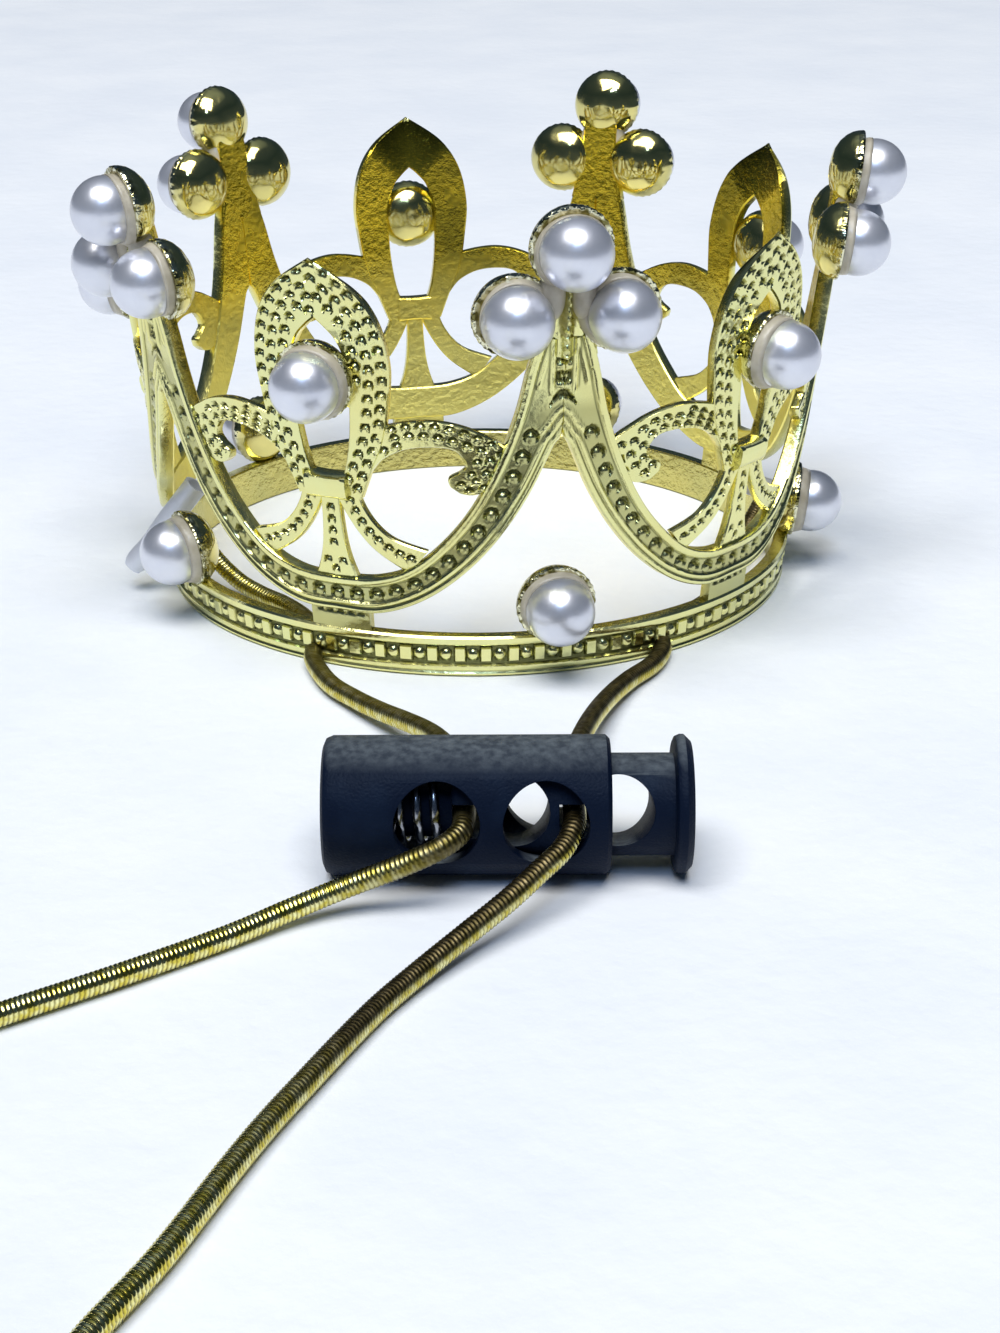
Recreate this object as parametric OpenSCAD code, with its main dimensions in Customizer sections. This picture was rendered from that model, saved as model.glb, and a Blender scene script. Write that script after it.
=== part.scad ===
// Small pearl crown for a pet, with an elastic chin strap and a barrel cord lock.
// The crown is one openwork casting bent into a cone: a beaded band, five hanging swags that
// meet in columns, a pointed petal with two scrolls in each swag, and a cup for each pearl.
// Millimetres. Z is up, the origin is on the crown's axis in the plane that the band rests on,
// and the front column stands towards -Y.

/* [Band] */
// Outer diameter of the band at its foot
band_d = 60; // [58:1:64]
// Height of the band
band_h = 3.9; // [3.6:0.1:4.2]
// Height of the raised line along each edge of the band
band_line = 1; // [0.8:0.1:1.2]

/* [Openwork] */
// Thickness of the cast wall
wall_t = 1.3; // [1.2:0.1:1.6]
// How far the wall leans out for each millimetre of height
lean = 0.116; // [0.1:0.002:0.13]
// Depth of the sunk channel that holds the beads
channel_depth = 0.4; // [0.3:0.05:0.5]
// How far the smooth knot under each petal stands proud
knot_proud = 0.7; // [0.4:0.1:1]

/* [Pearls] */
// Diameter of every pearl
pearl_d = 6; // [5.6:0.1:6]
// Metal thickness at the rim of a pearl cup
cup_rim = 0.3; // [0.25:0.05:0.4]
// Room between a pearl and its cup, filled with glue
glue_gap = 0.06; // [0.05:0.01:0.1]

/* [Cord lock] */
// Diameter of the barrel
barrel_d = 10.2; // [10:0.1:10.4]
// Length of the barrel
barrel_l = 20.8; // [20.6:0.1:21.2]
// Diameter of the two cord holes through the barrel
cord_hole_d = 6.2; // [6:0.1:6.3]
// Diameter of the plunger's stem
stem_d = 7.5; // [7.2:0.1:7.6]
// Thickness of the plunger's head
head_t = 1.3; // [1.2:0.1:1.6]
// How far the plunger is pressed in to free the cord
press_travel = 3.4; // [2.5:0.1:3.5]

/* [Strap] */
// Diameter of the elastic cord
cord_d = 1.7; // [1.5:0.1:1.7]
// Length of each metal barb at the ends of the cord
barb_l = 10.6; // [10:0.1:11]
// Diameter of each barb
barb_d = 2.4; // [2.2:0.1:2.4]

/* [Hidden] */
repeats = 5;
sector = 360 / repeats;

gold = "#d6c069";
pearl_white = "#ecebee";
lock_black = "#24262b";
steel_grey = "#b3b5ba";

// Shapes on the wall are drawn flat, in millimetres along the wall and up it, as the metal is
// cast before it is bent. This radius gives the flat drawing its length.
pattern_r = 1.08 * band_d / 2;
half_pitch = PI * pattern_r / repeats;
fuse = 0.1;

// Where the point p of the flat drawing lies on the bent wall, lifted outwards by out
function on_wall(p, out) =
    let (turn = p[0] / pattern_r * 180 / PI, r = band_d / 2 + lean * p[1] + out)
    [r * sin(turn), -r * cos(turn), p[1]];

// A point at t, from 0 to 1, on the smooth curve from b to c, with a and d on either side
function between(a, b, c, d, t) =
    0.5 * (2 * b + (c - a) * t + (2 * a - 5 * b + 4 * c - d) * t * t
        + (3 * b - a - 3 * c + d) * t * t * t);

// A smooth run through the points p, with n steps from each point to the next
function smooth(p, n) = concat(
    [for (i = [0:len(p) - 2]) for (j = [0:n - 1])
        between(p[max(i - 1, 0)], p[i], p[i + 1], p[min(i + 2, len(p) - 1)], j / n)],
    [p[len(p) - 1]]);

// A list of points and its mirror image, joined at x = 0 where the list starts
function both_sides(p) = concat(
    [for (i = [len(p) - 1:-1:1]) [-p[i][0], p[i][1]]], p);

function flipped(p) = [for (q = p) [-q[0], q[1]]];

// A solid through rings of equally many points
module loft(rings) {
    n = len(rings[0]);
    last = (len(rings) - 1) * n;
    polyhedron(
        points = [for (r = rings) each r],
        faces = concat(
            [[for (i = [0:n - 1]) i]],
            [[for (i = [n - 1:-1:0]) last + i]],
            [for (j = [0:n:last - n]) for (i = [0:n - 1]) let (k = (i + 1) % n)
                each [[j + i, j + n + k, j + k], [j + i, j + n + i, j + n + k]]]));
}

// Metal between two edges of the flat drawing. Each row of face says how far across it is, from
// the first edge to the second, and how high the front stands there above the wall. A strip that
// is sunk is thinner than the wall by that much on both sides.
module strip(edge_a, edge_b, face, sunk) {
    loft([for (i = [0:len(edge_a) - 1]) concat(
        [on_wall(edge_b[i], sunk - wall_t), on_wall(edge_a[i], sunk - wall_t)],
        [for (f = face) on_wall(edge_a[i] + (edge_b[i] - edge_a[i]) * f[0], f[1] - sunk)])]);
}

flat_face = [[0, 0], [1, 0]];
lined_face = [[0, 0], [0.22, 0], [0.47, -channel_depth], [0.72, 0], [1, 0]];
round_face = [[0, 0.2], [0.25, knot_proud], [0.75, knot_proud], [1, 0.2]];

// Each row pairs a point on the upper edge with one on the lower edge, as [x, z, x, z]
function upper(rows) = [for (r = rows) [r[0], r[1]]];
function lower(rows) = [for (r = rows) [r[2], r[3]]];

// The right half of a swag, from the middle of its belly to the top of the column
swag_rows = [
    [0, 9, 0, 5.7],
    [3.8, 9.2, 4.1, 5.8],
    [7.2, 10.4, 8.2, 7.3],
    [10.2, 12.9, 11.9, 9.9],
    [12.7, 16, 15, 13.2],
    [14.8, 20, 17.6, 17.2],
    [16.4, 24.4, 19.6, 21.6],
    [17.4, 28.6, half_pitch + fuse, 23.4],
    [18.2, 31.4, half_pitch + fuse, 31]];

// The right half of a petal. The upper point is on the outer edge, the lower one on the opening.
petal_rows = [
    [3, 16.5, 0.6, 17.2],
    [4.1, 19.2, 1.7, 19.2],
    [5.3, 22, 2.3, 22],
    [5.9, 25.6, 2.55, 25.4],
    [6.1, 28.8, 2.5, 28.4],
    [5.3, 32.4, 1.8, 30.6],
    [3.4, 35.2, 0.8, 31.8],
    [0, 37.6, 0, 32.5]];

// The right scroll, from the flank of the petal round to its beak
scroll_rows = [
    [5, 23.3, 4, 19],
    [7.2, 23.8, 5.2, 20.4],
    [9.3, 24, 7.2, 21.4],
    [11.5, 23.7, 9.6, 21.7],
    [13.6, 22.9, 11.4, 21.4],
    [15.9, 21.3, 12.3, 20.2],
    [15.4, 18.4, 11.8, 19.5],
    [13.1, 17.4, 10.8, 18.9],
    [11.9, 17.5, 10.9, 18.2]];

// The right side ray, from the knot down to the swag
side_ray_rows = [
    [2.6, 17.4, 0.6, 16.6],
    [3.2, 15.7, 1.7, 14.5],
    [4.3, 14.1, 2.9, 12.8],
    [5.9, 12.9, 4.4, 11.4],
    [8.8, 12, 7, 9.8]];

// The right edge of the middle ray, which flares where it meets the swag
middle_ray_edge = [[0.9, 16.6], [0.95, 14.4], [1.15, 12.2], [1.55, 10.4], [2.2, 8.7]];

knot_half = 1.9;
knot_z = [16.4, 18.7];
foot_half = 3;

// The column's right edge above the place where two swags have met
column_edge = [[2.8, 29.6], [2.3, 32], [1.9, 34.5], [1.6, 38.4]];

// Each kind of pearl cup: offset from the middle of its column or petal, distance from the
// crown's axis, and height
top_cup = [0, 36.8, 38.8];
side_cup = [4.45, 35.4, 33.2];
petal_cup = [0, 35.5, 27.1];
band_cup = [0, 32.6, 6.8];

pearl_r = pearl_d / 2;
cup_tilt = atan(lean);
cup_sides = 10;
// The hollow is a ball of flat faces that touch a sphere a little larger than the pearl
hollow_r = (pearl_r + glue_gap) / cos(18) / cos(180 / cup_sides);
// The cup ends well behind the pearl's middle, where its hollow is narrower
rim_back = 1.4;
cup_r = 0.93 * hollow_r + cup_rim;

module place_cup(cup, turn) {
    rotate([0, 0, turn]) translate([cup[0], -cup[1], cup[2]]) rotate([90 + cup_tilt, 0, 0]) children();
}

module cup_body() {
    hull() {
        translate([0, 0, -0.9 * pearl_r])
            cylinder(r1 = 0.94 * cup_r, r2 = cup_r, h = 0.9 * pearl_r - rim_back, $fn = cup_sides);
        translate([0, 0, -1.37 * pearl_r])
            cylinder(r1 = 0.45 * cup_r, r2 = 0.45 * cup_r, h = 0.2, $fn = cup_sides);
    }
}

module cup_hollow() {
    translate([0, 0, -hollow_r * sin(36)])
        cylinder(r1 = hollow_r * cos(36), r2 = hollow_r, h = hollow_r * sin(36), $fn = cup_sides);
    translate([0, 0, -hollow_r * sin(72)])
        cylinder(r1 = hollow_r * cos(72), r2 = hollow_r * cos(36),
            h = hollow_r * (sin(72) - sin(36)), $fn = cup_sides);
}

// One cup of each place round a sector, at its turn
module sector_cups(i) {
    column_turn = sector * i;
    petal_turn = sector * (i + 0.5);
    left_cup = [-side_cup[0], side_cup[1], side_cup[2]];
    place_cup(top_cup, column_turn) children();
    place_cup(side_cup, column_turn) children();
    place_cup(left_cup, column_turn) children();
    place_cup(petal_cup, petal_turn) children();
    place_cup(band_cup, column_turn) children();
}

module band() {
    inside = band_d / 2 - wall_t;
    face = band_d / 2;
    step = 0.15;
    profile = [
        [inside, 0], [face, 0], [face + lean * band_line, band_line],
        [face + lean * band_line - channel_depth, band_line + step],
        [face + lean * (band_h - band_line) - channel_depth, band_h - band_line - step],
        [face + lean * (band_h - band_line), band_h - band_line],
        [face + lean * band_h, band_h], [inside + lean * band_h, band_h]];
    rotate_extrude($fn = 50) polygon(profile);
}

// Smooth to begin with, then straight from point to point
function eased(p, n) = concat(smooth([for (i = [0:n]) p[i]], 2), [for (i = [n + 1:len(p) - 1]) p[i]]);

module swag() {
    edge_a = both_sides(eased(upper(swag_rows), 5));
    edge_b = both_sides(eased(lower(swag_rows), 5));
    strip(edge_a, edge_b, lined_face, 0);
}

module petal() {
    steps = 2;
    up = smooth(upper(petal_rows), steps);
    down = smooth(lower(petal_rows), steps);
    last = len(up) - 1;
    edge_a = concat(up, [for (i = [last - 1:-1:0]) [-up[i][0], up[i][1]]]);
    edge_b = concat(down, [for (i = [last - 1:-1:0]) [-down[i][0], down[i][1]]]);
    strip(edge_b, edge_a, flat_face, 0.1);
}

module scrolls() {
    edge_a = smooth(upper(scroll_rows), 1);
    edge_b = smooth(lower(scroll_rows), 1);
    strip(edge_a, edge_b, flat_face, 0.2);
    strip(flipped(edge_b), flipped(edge_a), flat_face, 0.2);
}

module rays() {
    edge_a = upper(side_ray_rows);
    edge_b = lower(side_ray_rows);
    strip(edge_a, edge_b, flat_face, 0.25);
    strip(flipped(edge_b), flipped(edge_a), flat_face, 0.25);
    strip(middle_ray_edge, flipped(middle_ray_edge), flat_face, 0.2);
}

module knot_and_foot() {
    knot_x = [-knot_half, -0.6 * knot_half, 0.6 * knot_half, knot_half];
    waist = [0.1, 0, 0, 0.1];
    strip(
        [for (i = [0:3]) [knot_x[i], knot_z[1] + waist[i]]],
        [for (i = [0:3]) [knot_x[i], knot_z[0] - waist[i]]], round_face, 0);
    foot_x = [-foot_half, 0, foot_half];
    strip([for (x = foot_x) [x, 6.4]], [for (x = foot_x) [x, band_h - 0.5]], flat_face, 0.15);
}

module column() {
    strip(flipped(column_edge), column_edge, flat_face, 0.1);
    // The stem that carries the band's pearl cup
    strip([[-1.5, 6.4], [1.5, 6.4]], [[-1.5, 3.4], [1.5, 3.4]], [[0, 0.8], [1, 0.3]], 0.1);
}

// Two grooves under the band let the strap out where the crown stands on a hard surface
module strap_grooves() {
    groove_r = cord_d / 2 + 0.25;
    rotate([0, 0, strap_turn]) for (x = [strap_left_x, strap_right_x])
        translate([x, -22, cord_d / 2]) rotate([90, 0, 0]) {
            cylinder(r = groove_r, h = 10, $fn = 12);
            translate([-groove_r, -cord_d, 0]) cube([2 * groove_r, cord_d, 10]);
        }
}

module casting() {
    color(gold) difference() {
        union() {
            band();
            for (i = [0:repeats - 1]) {
                rotate([0, 0, sector * (i + 0.5)]) {
                    swag();
                    petal();
                    scrolls();
                    rays();
                    knot_and_foot();
                }
                rotate([0, 0, sector * i]) column();
                sector_cups(i) cup_body();
            }
        }
        for (i = [0:repeats - 1]) sector_cups(i) cup_hollow();
        strap_grooves();
    }
}

module pearl(cup, turn) {
    color(pearl_white) place_cup(cup, turn) sphere(r = pearl_r, $fn = 48);
}

// The strap and its lock are laid out square to the way that the lock lies, then turned
strap_turn = -13;
strap_left_x = -14.5;
strap_right_x = 16.6;
lock_y = -65.1;
lock_left_x = -10.8;
lock_z = barrel_d / 2;
lock_roll = 8;
left_hole_x = 8.3;
right_hole_x = 16.1;

// The strap's route, from the left barb through the lock, round its loop and back to the right barb
strap_route = [
    [-27.8, -9, 6.7], [-26.9, -9, 5.9], [-25.7, -9.2, 4.4], [-24.2, -9.9, 2.8], [-22.4, -11.1, 1.6],
    [-20.2, -12.8, 1], [-17.8, -15.2, 0.9], [-15.8, -18.4, 0.9], [-14.7, -21.8, 0.9],
    [-14.5, -25.2, 0.9], [-14.3, -28.6, 0.9], [-12.6, -33.6, 1], [-10.1, -37.5, 1.2],
    [-7.7, -41, 1.6], [-5.5, -44.3, 2.2], [-3.6, -47.8, 2.9], [-2.2, -52, 3.7],
    [-1.2, -56, 4.2], [-0.8, -60.4, 4.6], [-0.6, -64.6, 5],
    [-0.6, -68.6, 5.4], [-1, -70.2, 5.2], [-2.5, -71.5, 4.7], [-5.2, -71.9, 3.6], [-9, -72.3, 2.2],
    [-12.9, -74, 1.3], [-17, -77, 0.9], [-23.6, -82, 0.9], [-30.5, -86.8, 0.9],
    [-40, -93.6, 0.9], [-49, -102.4, 0.9], [-54.4, -113, 0.9], [-54.4, -125, 0.9],
    [-48.4, -135, 0.9], [-38.6, -139.4, 0.9], [-29.6, -136.2, 0.9], [-23.6, -128, 0.9],
    [-19.8, -118.6, 0.9], [-16.8, -112, 0.9], [-13.8, -103.8, 0.9], [-12, -99.2, 0.9],
    [-10, -94.7, 0.9], [-8, -90.3, 0.9], [-5.8, -85.8, 0.9], [-3.1, -81.7, 1.2], [-0.2, -78.2, 1.9],
    [2.6, -75.4, 2.9], [4.9, -72.9, 3.9], [6.5, -71, 4.6],
    [7.3, -68.8, 5.3], [7.4, -65, 5.1], [7.4, -60.6, 4.6], [7.6, -56, 4], [8.2, -51, 3.3],
    [9.5, -44.4, 2.4], [11.2, -38.3, 1.6], [13.2, -33.4, 1.1], [15.5, -29.5, 0.9],
    [16.6, -26.2, 0.9], [16.7, -22.8, 0.9], [17.8, -19.4, 0.9], [20.6, -16, 0.9], [23, -11.8, 0.9],
    [24.2, -7.4, 1], [25.2, -3.6, 1.5], [26.4, -0.8, 2.6], [27.4, 0.7, 3.9], [28.1, 1.1, 5.2]];
cord_sides = 8;

function unit(v) = v / norm(v);

module strap_cord() {
    route = smooth(strap_route, 1);
    last = len(route) - 1;
    up = [0, 0, 1];
    color(gold) rotate([0, 0, strap_turn]) loft([for (i = [0:last])
        let (
            ahead = unit(route[min(i + 1, last)] - route[max(i - 1, 0)]),
            side = unit(cross(ahead, up)),
            top = cross(side, ahead))
        [for (k = [cord_sides:-1:1]) let (a = 360 * (k - 0.5) / cord_sides)
            route[i] + cord_d / 2 * (cos(a) * side + sin(a) * top)]]);
}

// A rolled metal barb from a to b, open at both ends
module barb(from, toward) {
    way = toward - from;
    flat = norm([way[0], way[1]]);
    color(steel_grey) rotate([0, 0, strap_turn]) translate(from)
        rotate([0, atan2(flat, way[2]), atan2(way[1], way[0])]) difference() {
            cylinder(d = barb_d, h = barb_l, $fn = 32);
            for (z = [-1, barb_l - 2]) translate([0, 0, z]) cylinder(d = barb_d - 0.9, h = 3, $fn = 32);
        }
}

module left_barb() { barb([-33, -8.8, 2.4], [-26.4, -9.1, 10.8]); }
module right_barb() { barb([33.4, 2.8, 4.4], [24.1, -0.2, 8.7]); }

// The lock lies along X, closed end first
module in_lock() {
    rotate([0, 0, strap_turn]) translate([lock_left_x, lock_y, lock_z])
        rotate([-lock_roll, 0, 0]) rotate([0, 90, 0]) children();
}

bore_gap = 0.12;
bore_start = 1.6;
rim_round = 0.7;

// A round bar along Z whose edge at each end is turned down by the given amounts
module turned_bar(d, l, start_round, end_round) {
    rotate_extrude($fn = 64) polygon([
        [0, 0], [d / 2 - start_round, 0], [d / 2 - 0.3 * start_round, 0.3 * start_round],
        [d / 2, start_round], [d / 2, l - end_round], [d / 2 - end_round, l], [0, l]]);
}

module lock_barrel() {
    color(lock_black) in_lock() difference() {
        turned_bar(barrel_d, barrel_l, rim_round, 0.3);
        translate([0, 0, bore_start]) cylinder(d = stem_d + 2 * bore_gap, h = barrel_l, $fn = 64);
        for (z = [left_hole_x, right_hole_x]) translate([0, -barrel_d, z])
            rotate([-90, 0, 0]) cylinder(d = cord_hole_d, h = 2 * barrel_d, $fn = 48);
    }
}

stem_start = 9.3;
head_gap = 4.6;
// The plunger's two round holes, which are drilled a little further over than the barrel's
hole_d = 5.2;
hole_x = [13.8, 21.3];
hole_roll = -9;
// Each hole runs out to the left in a notch that keeps clear of the cord over the whole travel
notch_ends = [[8, 14.8], [17.05, 22.8]];
notch_low = -1.4;
notch_high = 1.15;

module lock_plunger() {
    head_z = barrel_l + head_gap;
    color(lock_black) in_lock() difference() {
        union() {
            translate([0, 0, stem_start]) turned_bar(stem_d, head_z - stem_start + fuse, 0.4, 0.02);
            translate([0, 0, head_z]) turned_bar(barrel_d, head_t, 0.5, 0.5);
        }
        for (z = hole_x) rotate([0, 0, hole_roll]) translate([0, -barrel_d, z])
            rotate([-90, 0, 0]) cylinder(d = hole_d, h = 2 * barrel_d, $fn = 48);
        for (ends = notch_ends) translate([-notch_high, -barrel_d, ends[0]])
            cube([notch_high - notch_low, 2 * barrel_d, ends[1] - ends[0]]);
    }
}

// The coil spring's outer shape when pressed, at the closed end of the bore
module lock_spring() {
    pressed_l = stem_start - press_travel - bore_start - 0.1;
    color(steel_grey) in_lock() translate([0, 0, bore_start + 0.05]) difference() {
        cylinder(d = stem_d - 1.1, h = pressed_l, $fn = 48);
        translate([0, 0, -1]) cylinder(d = stem_d - 2.5, h = pressed_l + 2, $fn = 48);
    }
}

casting();
for (i = [1:repeats]) {
    left_cup = [-side_cup[0], side_cup[1], side_cup[2]];
    pearl(top_cup, sector * (i - 1));
    pearl(left_cup, sector * (i - 1));
    pearl(side_cup, sector * (i - 1));
    pearl(petal_cup, sector * (i - 0.5));
    pearl(band_cup, sector * (i - 1));
}
strap_cord();
left_barb();
right_barb();
lock_barrel();
lock_plunger();
lock_spring();
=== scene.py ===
# %% [markdown]
# A small pet crown: a pale gold openwork casting, pearls glued in round cups, and a chin strap of
# gold elastic cord that runs through a black cord lock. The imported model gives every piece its
# real place and size. This script dresses it: first the camera and the cord, then the casting's
# relief, the pearls, the lock and the barbs, and last the floor and the light.

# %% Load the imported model
import math

import bpy
import numpy as np
from mathutils import Matrix, Vector


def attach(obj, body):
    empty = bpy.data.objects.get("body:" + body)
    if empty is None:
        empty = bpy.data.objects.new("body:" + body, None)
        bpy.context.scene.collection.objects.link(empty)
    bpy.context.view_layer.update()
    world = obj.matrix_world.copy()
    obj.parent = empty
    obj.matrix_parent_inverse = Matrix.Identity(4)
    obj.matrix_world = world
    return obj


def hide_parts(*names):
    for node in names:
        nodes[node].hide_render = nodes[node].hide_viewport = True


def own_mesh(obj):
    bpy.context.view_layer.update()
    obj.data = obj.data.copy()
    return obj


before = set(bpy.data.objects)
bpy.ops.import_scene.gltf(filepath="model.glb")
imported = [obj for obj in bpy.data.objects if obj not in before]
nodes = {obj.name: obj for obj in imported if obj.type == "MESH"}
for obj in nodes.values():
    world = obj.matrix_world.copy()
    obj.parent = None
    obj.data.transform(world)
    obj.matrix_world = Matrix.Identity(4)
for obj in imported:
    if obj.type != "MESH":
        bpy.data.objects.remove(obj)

scene = bpy.context.scene
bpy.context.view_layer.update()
MM = 0.001
print("nodes in the frame:", len(nodes))

# %% [markdown]
# The camera stands where the photographer stood: low in front of the crown, looking down by
# 23 degrees. The strap and its lock lie square to that view, so both are laid out in a frame that
# is turned 13 degrees against the crown.

# %% Place the camera
STRAP_TURN = math.radians(-13)
VIEW_TURN = math.radians(-13.09)
VIEW_DOWN = math.radians(23.252)
VIEW_ROLL = math.radians(-0.176)
CAMERA_AT = Vector((2.15, -215.35, 80.6)) * MM
LENS = 62.148
SENSOR = 36

camera_data = bpy.data.cameras.new("camera")
camera_data.lens = LENS
camera_data.sensor_width = SENSOR
camera_data.clip_start = 10 * MM
camera = bpy.data.objects.new("camera", camera_data)
scene.collection.objects.link(camera)
turned = Matrix.Rotation(VIEW_TURN, 4, "Z")
tilted = Matrix.Rotation(math.pi / 2 - VIEW_DOWN, 4, "X")
rolled = Matrix.Rotation(VIEW_ROLL, 4, "Z")
camera.matrix_world = turned @ Matrix.Translation(CAMERA_AT) @ tilted @ rolled
scene.camera = camera
print("camera height in mm:", round(camera.matrix_world.translation.z / MM, 1))

# %% [markdown]
# A shader is easier to read as a sum than as a net of nodes. This class wraps one socket, so that
# Python's operators add the Math nodes. Every other node comes from one method, by its type, its
# settings and then what feeds its sockets.

# %% Shader values as Python expressions
class Wire:
    """One output socket of a material, which Python's operators can work on."""

    def __init__(self, tree, socket):
        self.tree = tree
        self.socket = socket

    def node(self, kind, settings=None, values=None, out=0):
        """A new node of that kind: its settings first, then the values or wires of its sockets."""
        made = self.tree.nodes.new(kind)
        for key, value in (settings or {}).items():
            if key == "stops":
                ramp = made.color_ramp.elements
                while len(ramp) < len(value):
                    ramp.new(0.5)
                for stop, (place, shade) in zip(ramp, value):
                    stop.position = place
                    stop.color = shade
            else:
                setattr(made, key, value)
        for key, value in (values or {}).items():
            if isinstance(value, Wire):
                self.tree.links.new(value.socket, made.inputs[key])
            else:
                made.inputs[key].default_value = value
        return Wire(self.tree, made.outputs[out])

    def math(self, operation, first, second):
        return self.node("ShaderNodeMath", {"operation": operation}, {0: first, 1: second})

    def __add__(self, other):
        return self.math("ADD", self, other)

    def __sub__(self, other):
        return self.math("SUBTRACT", self, other)

    def __rsub__(self, other):
        return self.math("SUBTRACT", other, self)

    def __mul__(self, other):
        return self.math("MULTIPLY", self, other)

    __radd__ = __add__
    __rmul__ = __mul__

    def clipped(self):
        return self.node("ShaderNodeClamp", None, {0: self})

    def between(self, low, high):
        """0 where the value is low or less, 1 where it is high or more."""
        return self.node("ShaderNodeMapRange", None, {0: self, 1: low, 2: high, 3: 0.0, 4: 1.0})

    def mixed(self, first, second):
        """The first colour where this value is 0, and the second where it is 1."""
        return self.node("ShaderNodeMix", {"data_type": "RGBA"}, {0: self, 6: first, 7: second}, 2)

    def upward(self):
        """The third part of this vector, which is how far it goes up."""
        return self.node("ShaderNodeSeparateXYZ", None, {0: self}, 2)

    def place(self):
        """Where the point lies in the piece's own coordinates, in metres."""
        return self.node("ShaderNodeTexCoord", out=3)

    def noise(self, scale, detail=2.0, roughness=0.5):
        values = {"Vector": self.place(), "Scale": scale, "Detail": detail, "Roughness": roughness}
        return self.node("ShaderNodeTexNoise", None, values)

    def attribute(self, name):
        """A number that the mesh carries at each point."""
        return self.node("ShaderNodeAttribute", {"attribute_name": name}, out=2)

    def bump(self, height, distance, strength):
        values = {"Height": height, "Distance": distance, "Strength": strength}
        return self.node("ShaderNodeBump", None, values)


# %% [markdown]
# A finish is a material whose main shader has its constants on its own sockets. What changes over
# the surface is fed to the sockets afterwards, by name.

# %% Start a finish
def finish_of(name, **constants):
    """A new material, its main shader, and a wire to start from."""
    material = bpy.data.materials.new(name)
    material.use_nodes = True
    shader = material.node_tree.nodes["Principled BSDF"]
    for key, value in constants.items():
        shader.inputs[key.replace("_", " ")].default_value = value
    print("finish:", name, constants)
    return material, shader, Wire(material.node_tree, None)


def feed(shader, **wires):
    for key, wire in wires.items():
        shader.id_data.links.new(wire.socket, shader.inputs[key.replace("_", " ")])


# %% [markdown]
# The casting is a zinc alloy with a thin, bright, slightly green gold plating. Its sunk work is
# painted darker: painted shade. The mesh carries how dark each point is painted, so the colour
# follows the shape and not a picture. The inner side is cloudy and rich in the petals, lighter in
# the swags, as a painted reflection of the bright floor, and olive in the band. A fine noise in the
# bump gives the skin of cast metal, and it is coarser inside.

# %% Gold of the casting
PALE_GOLD = (0.82, 0.81, 0.38, 1)
WARM_GOLD = (0.90, 0.70, 0.16, 1)
# The dark gold of the painted shade in the sunk work.
PAINTED_DARK_GOLD = (0.055, 0.062, 0.014, 1)
DULL_BACK = (0.42, 0.34, 0.04, 1)
RICH_BACK = (1.0, 0.74, 0.06, 1)
# A light gold for the swags' inner side: a painted reflection of the bright floor.
PAINTED_FLOOR_REFLECTION_GOLD = (1.0, 0.90, 0.29, 1)
OLIVE_BACK = (0.58, 0.54, 0.22, 1)
# The heights in metres between which the olive and the light gold of the inner side fade out.
BAND_ENDS = (0.0038, 0.006)
SWAGS_END = (0.013, 0.024)

CAST_GOLD, shader, start = finish_of("cast_gold", Metallic=1.0)
deep = start.attribute("deep").clipped()
front = start.attribute("front").clipped()
patchy = start.noise(160.0, 3.0).between(0.35, 0.7)
cloudy = start.noise(95.0, 4.0, 0.65).between(0.36, 0.62)
height = start.place().upward()
band = 1 - height.between(*BAND_ENDS)
low = (1 - height.between(*SWAGS_END)) * (1 - band)
# Low on the inner side, in the swags, the gold is mixed toward a light gold: a painted reflection of
# the bright floor.
back = (low * 0.92).mixed(cloudy.mixed(DULL_BACK, RICH_BACK), PAINTED_FLOOR_REFLECTION_GOLD)
back = (band * 0.85).mixed(back, OLIVE_BACK)
varied_tone = (patchy * 0.25).mixed(PALE_GOLD, WARM_GOLD)
# The mesh's painted darkness turns the gold dark: painted shade in the sunk work, and a painted dark
# reflection at the backs of the petals' tips.
feed(shader, Base_Color=(deep * 0.92).mixed(front.mixed(back, varied_tone), PAINTED_DARK_GOLD))
feed(shader, Roughness=0.15 + 0.10 * patchy + 0.2 * deep * front
     + (0.05 + 0.12 * low) * (1 - front))
grain = start.noise(1500.0, 3.0, 0.6)
ripple = start.noise(700.0) * front
feed(shader, Normal=start.bump(grain * (1.6 - 1.1 * front) + ripple, 0.09 * MM, 0.7))

# %% [markdown]
# The cups are spun from thin brass and plated with the casting. They are smoother than the cast
# metal and mirror the room, with shallow dents. On their fluted rims, specks of white and of dark
# metal take turns: painted glints and painted reflection of the dark room. The mesh marks the rim.

# %% Gold of the cups
CUP_BRIGHT = (0.80, 0.70, 0.26, 1)
CUP_DULL = (0.62, 0.56, 0.22, 1)
# Painted dark reflection and painted glints for the specks on the rims.
RIM_PAINTED_DARK_REFLECTION = (0.13, 0.12, 0.04, 1)
RIM_PAINTED_GLINT = (0.82, 0.80, 0.58, 1)

CUP_GOLD, shader, start = finish_of("cup_gold", Metallic=1.0)
rim = start.attribute("rim").clipped()
patchy = start.noise(260.0).between(0.4, 0.7)
painted_glint_fleck = start.noise(1300.0).between(0.42, 0.56)
plated = patchy.mixed(CUP_BRIGHT, CUP_DULL)
# The rim's specks are painted glints and painted dark reflection.
feed(shader, Base_Color=(rim * 0.9).mixed(plated, painted_glint_fleck.mixed(RIM_PAINTED_DARK_REFLECTION, RIM_PAINTED_GLINT)))
dents = start.noise(420.0, 1.0) + rim * start.noise(1500.0)
feed(shader, Roughness=0.10 + 0.10 * patchy, Normal=start.bump(dents, 0.35 * MM, 0.8))

# %% [markdown]
# The pearls are plastic beads with a pearl lacquer. The lacquer is cool white, it has a soft, wide
# highlight under a thin clear one, and its thickness wanders a little over the bead. A layer
# weight makes the rim, where the bead is seen at a slant, a shade darker: painted shade. The glue
# was clear, and has yellowed in streaks.

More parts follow.
